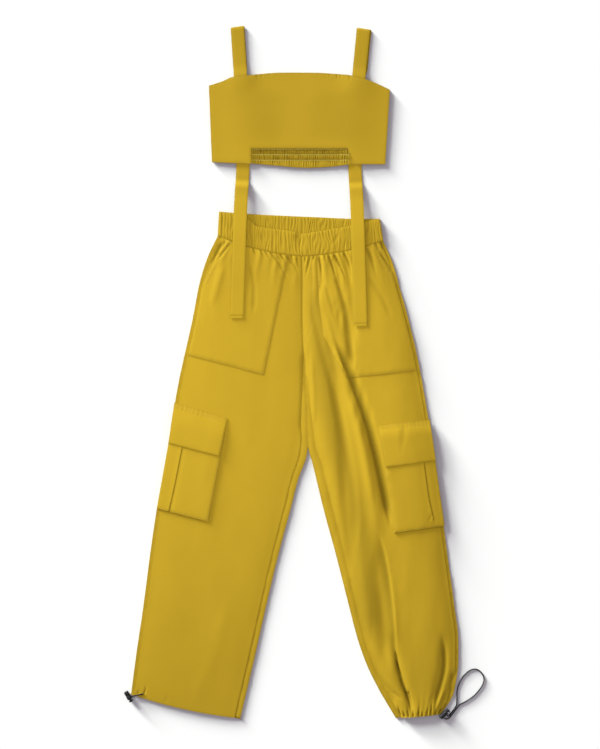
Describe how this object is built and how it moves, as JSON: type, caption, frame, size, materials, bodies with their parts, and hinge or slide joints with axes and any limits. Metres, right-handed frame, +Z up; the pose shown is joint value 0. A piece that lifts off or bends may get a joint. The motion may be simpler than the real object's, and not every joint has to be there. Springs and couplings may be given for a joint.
{
  "type": "child's co-ord set",
  "caption": "Child's strappy top with a shirred back and cargo trousers with a gathered waist and drawcord hems, laid flat.",
  "frame": {"origin": "middle of the set's length and width, on the surface it lies on", "axes": "+X to the right and +Y to the top as seen from above, with the top at +Y and the trouser hems at -Y; +Z up out of the surface"},
  "size_m": [0.5584, 1.0732, 0.0159],
  "materials": {
    "cotton": "matt woven cotton, mustard yellow",
    "lock": "charcoal moulded plastic",
    "cord": "charcoal round braided cord"
  },
  "bodies": {
    "set": {"top_front": "cotton", "top_back": "cotton", "top_strap_left": "cotton", "top_strap_right": "cotton", "waistband_front": "cotton", "waistband_back": "cotton", "leg_front_left": "cotton", "leg_front_right": "cotton", "leg_back_left": "cotton", "leg_back_right": "cotton", "hip_patch_left": "cotton", "hip_patch_right": "cotton", "cargo_pocket_left": "cotton", "cargo_pocket_right": "cotton", "cargo_flap_left": "cotton", "cargo_flap_right": "cotton", "lock_barrel_left": "lock", "lock_barrel_right": "lock", "hem_cord_left": "cord", "hem_cord_right": "cord"},
    "plunger_left": {"lock_plunger_left": "lock"},
    "plunger_right": {"lock_plunger_right": "lock"}
  },
  "joints": [
    {"name": "plunger_left", "type": "slide", "parent": "set", "child": "plunger_left", "axis": [-0.4828, 0.8757, 0], "range_m": [0, 0.0016], "stiffness_N_per_m": 300},
    {"name": "plunger_right", "type": "slide", "parent": "set", "child": "plunger_right", "axis": [-0.7121, -0.7021, 0], "range_m": [0, 0.0016], "stiffness_N_per_m": 300}
  ]
}
